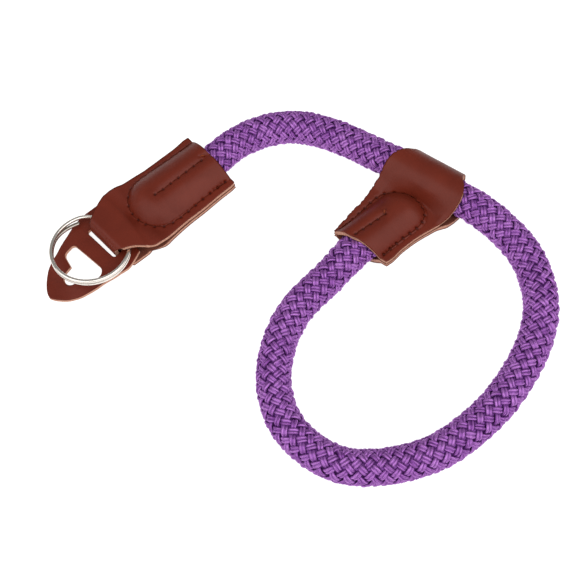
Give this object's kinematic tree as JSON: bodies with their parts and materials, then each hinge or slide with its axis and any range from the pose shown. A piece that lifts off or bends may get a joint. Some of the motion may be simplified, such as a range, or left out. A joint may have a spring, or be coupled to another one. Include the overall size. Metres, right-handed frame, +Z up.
{
  "type": "camera wrist strap",
  "caption": "Wrist strap for a camera: a braided rope loop with a leather slider, a folded leather end tab, a split ring and a pointed leather protector with a T-shaped cut-out.",
  "frame": {"origin": "bottom centre of the box around the leather pieces and the ring, on the surface that the strap lies on", "axes": "+X along the end tab, from its ring towards its mouth at the rope; +Z up from the surface; +Y from the wrist loop towards the end tab"},
  "size_m": [0.1227, 0.1339, 0.0138],
  "materials": {
    "purple_braid": "shiny flat yarn, herringbone braid",
    "brown_leather": "smooth, semi-gloss, raw tan edges",
    "nickel": "polished wire"
  },
  "bodies": {
    "root": {"rope": "purple_braid", "end_tab": "brown_leather", "slider": "brown_leather", "lug_protector": "brown_leather", "split_ring": "nickel"}
  },
  "joints": []
}
